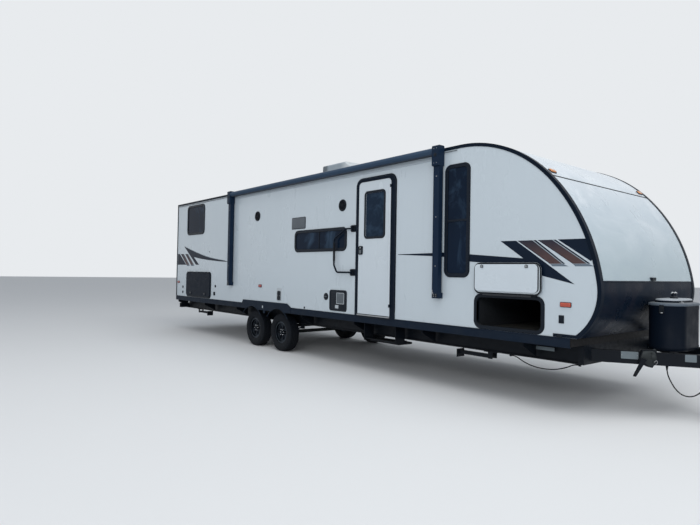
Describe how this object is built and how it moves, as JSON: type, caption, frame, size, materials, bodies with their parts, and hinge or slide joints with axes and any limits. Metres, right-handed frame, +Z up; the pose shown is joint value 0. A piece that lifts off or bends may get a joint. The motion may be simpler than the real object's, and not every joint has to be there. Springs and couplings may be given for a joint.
{
  "type": "travel caravan",
  "caption": "Long white travel caravan with a rounded black-chinned nose, twin axles, side awning, entry door, baggage hatches and an A-frame tongue on its jack.",
  "frame": {"origin": "middle of the jack foot's underside, on the ground, on the centre line", "axes": "+X forward along the length, +Y to the left side, +Z up"},
  "size_m": [11.412, 2.59, 3.365],
  "materials": {
    "painted_steel": "satin black paint with road dust",
    "coupler_steel": "satin black paint, worn at the socket",
    "jack_shell": "satin black powder coat",
    "zinc_steel": "zinc plated, dull",
    "cover_plastic": "moulded, semi-gloss",
    "chrome": "bright",
    "floor_panel": "sealed underside",
    "belly_plastic": "corrugated sheet",
    "white_laminate": "smooth gel coat",
    "black_laminate": "smooth dark gel coat, dusty",
    "roof_membrane": "matt membrane",
    "black_trim": "satin",
    "dark_glass": "dark tint",
    "frosted_glass": "obscured",
    "door_skin": "smooth gel coat",
    "hatch_inner": "smooth panel in a dark edge frame",
    "hatch_skin": "smooth dark panel",
    "black_plastic": "moulded",
    "cable_rubber": "dusty cable sheath",
    "handle_bar": "soft black sleeve",
    "bay_lining": "grey lining",
    "awning_cloth": "rolled coated cloth under a metal weather shield",
    "awning_metal": "black anodised",
    "white_plastic": "moulded",
    "red_lens": "lens",
    "amber_lens": "lens",
    "step_tread_metal": "gritted tread",
    "rim_alloy": "dark with machined edges",
    "tyre_rubber": "road tyre"
  },
  "bodies": {
    "trailer": {"chassis": "painted_steel", "frame_members": "painted_steel", "a_frame": "painted_steel", "axles": "painted_steel", "leaf_springs": "painted_steel", "rear_bumper": "painted_steel", "skirts": "painted_steel", "coupler": "coupler_steel", "jack_housing": "jack_shell", "gas_cover": "cover_plastic", "gas_cover_handle": "chrome", "floor": "floor_panel", "underbelly": "belly_plastic", "sidewall_right": "white_laminate", "sidewall_left": "white_laminate", "front_wall_upper": "white_laminate", "rear_wall": "white_laminate", "front_wall_lower": "black_laminate", "roof": "roof_membrane", "edge_trims": "black_trim", "window_frames": "black_trim", "door_frame": "black_trim", "hatch_frames": "black_trim", "window_panes": "dark_glass", "side_fittings": "black_plastic", "appliance_panels": "black_plastic", "handle_brackets": "black_plastic", "tow_plug": "black_plastic", "tow_cable": "cable_rubber", "belly_cable": "cable_rubber", "storage_bay": "bay_lining", "awning_roller": "awning_cloth", "awning_arms": "awning_metal", "air_conditioner": "white_plastic", "roof_vents": "white_plastic", "red_lamps": "red_lens", "amber_lamps": "amber_lens"},
    "door": {"door_leaf": "door_skin", "door_window_ring": "black_trim", "door_pane": "frosted_glass", "door_latch": "black_plastic"},
    "handle": {"grab_handle": "handle_bar"},
    "front_right_hatch": {"hatch_front_right": "hatch_inner"},
    "front_left_hatch": {"hatch_front_left": "hatch_skin"},
    "rear_hatch": {"hatch_rear_right": "hatch_skin"},
    "jack": {"jack_leg": "zinc_steel"},
    "step_swing": {"step_arms": "painted_steel"},
    "step": {"step_tread": "step_tread_metal"},
    "front_right_stabilizer": {"stabilizer_front_right": "painted_steel"},
    "front_left_stabilizer": {"stabilizer_front_left": "painted_steel"},
    "rear_right_stabilizer": {"stabilizer_rear_right": "painted_steel"},
    "rear_left_stabilizer": {"stabilizer_rear_left": "painted_steel"},
    "rear_right_wheel": {"rim_rear_right": "rim_alloy", "tyre_rear_right": "tyre_rubber"},
    "rear_left_wheel": {"rim_rear_left": "rim_alloy", "tyre_rear_left": "tyre_rubber"},
    "front_right_wheel": {"rim_front_right": "rim_alloy", "tyre_front_right": "tyre_rubber"},
    "front_left_wheel": {"rim_front_left": "rim_alloy", "tyre_front_left": "tyre_rubber"}
  },
  "joints": [
    {"name": "door_hinge", "type": "hinge", "parent": "trailer", "child": "door", "pos_m": [-3.524, -1.246, 1.7], "axis": [0, 0, 1], "range_deg": [0, 110]},
    {"name": "handle_swing", "type": "hinge", "parent": "trailer", "child": "handle", "pos_m": [-4.308, -1.262, 1.7], "axis": [0, 0, 1], "range_deg": [0, 180]},
    {"name": "front_right_hatch_hinge", "type": "hinge", "parent": "trailer", "child": "front_right_hatch", "pos_m": [-1.69, -1.241, 1.182], "axis": [1, 0, 0], "range_deg": [0, 180]},
    {"name": "front_left_hatch_hinge", "type": "hinge", "parent": "trailer", "child": "front_left_hatch", "pos_m": [-1.69, 1.241, 1.182], "axis": [1, 0, 0], "range_deg": [0, 180]},
    {"name": "rear_hatch_hinge", "type": "hinge", "parent": "trailer", "child": "rear_hatch", "pos_m": [-9.637, -1.241, 1.354], "axis": [-1, 0, 0], "range_deg": [0, 100]},
    {"name": "jack_slide", "type": "slide", "parent": "trailer", "child": "jack", "axis": [0, 0, 1], "range_m": [0, 0.3]},
    {"name": "step_swing_hinge", "type": "hinge", "parent": "trailer", "child": "step_swing", "pos_m": [-3.84, -1.075, 0.452], "axis": [-1, 0, 0], "range_deg": [0, 145]},
    {"name": "step_level_hinge", "type": "hinge", "parent": "step_swing", "child": "step", "pos_m": [-3.84, -0.885, 0.452], "axis": [-1, 0, 0], "range_deg": [-145, 0]},
    {"name": "front_right_stabilizer_swing", "type": "hinge", "parent": "trailer", "child": "front_right_stabilizer", "pos_m": [-2.1, -0.9, 0.438], "axis": [0, -1, 0], "range_deg": [0, 56]},
    {"name": "front_left_stabilizer_swing", "type": "hinge", "parent": "trailer", "child": "front_left_stabilizer", "pos_m": [-2.1, 0.9, 0.438], "axis": [0, -1, 0], "range_deg": [0, 56]},
    {"name": "rear_right_stabilizer_swing", "type": "hinge", "parent": "trailer", "child": "rear_right_stabilizer", "pos_m": [-10.16, -0.9, 0.438], "axis": [0, 1, 0], "range_deg": [0, 56]},
    {"name": "rear_left_stabilizer_swing", "type": "hinge", "parent": "trailer", "child": "rear_left_stabilizer", "pos_m": [-10.16, 0.9, 0.438], "axis": [0, 1, 0], "range_deg": [0, 56]},
    {"name": "rear_right_wheel_spin", "type": "hinge", "parent": "trailer", "child": "rear_right_wheel", "pos_m": [-7.234, -1.062, 0.331], "axis": [0, 1, 0], "continuous": true},
    {"name": "rear_left_wheel_spin", "type": "hinge", "parent": "trailer", "child": "rear_left_wheel", "pos_m": [-7.234, 1.062, 0.331], "axis": [0, 1, 0], "continuous": true},
    {"name": "front_right_wheel_spin", "type": "hinge", "parent": "trailer", "child": "front_right_wheel", "pos_m": [-6.347, -1.062, 0.331], "axis": [0, 1, 0], "continuous": true},
    {"name": "front_left_wheel_spin", "type": "hinge", "parent": "trailer", "child": "front_left_wheel", "pos_m": [-6.347, 1.062, 0.331], "axis": [0, 1, 0], "continuous": true}
  ],
  "couplings": [
    {"joint": "step_level_hinge", "follows": "step_swing_hinge", "ratio": -1}
  ]
}
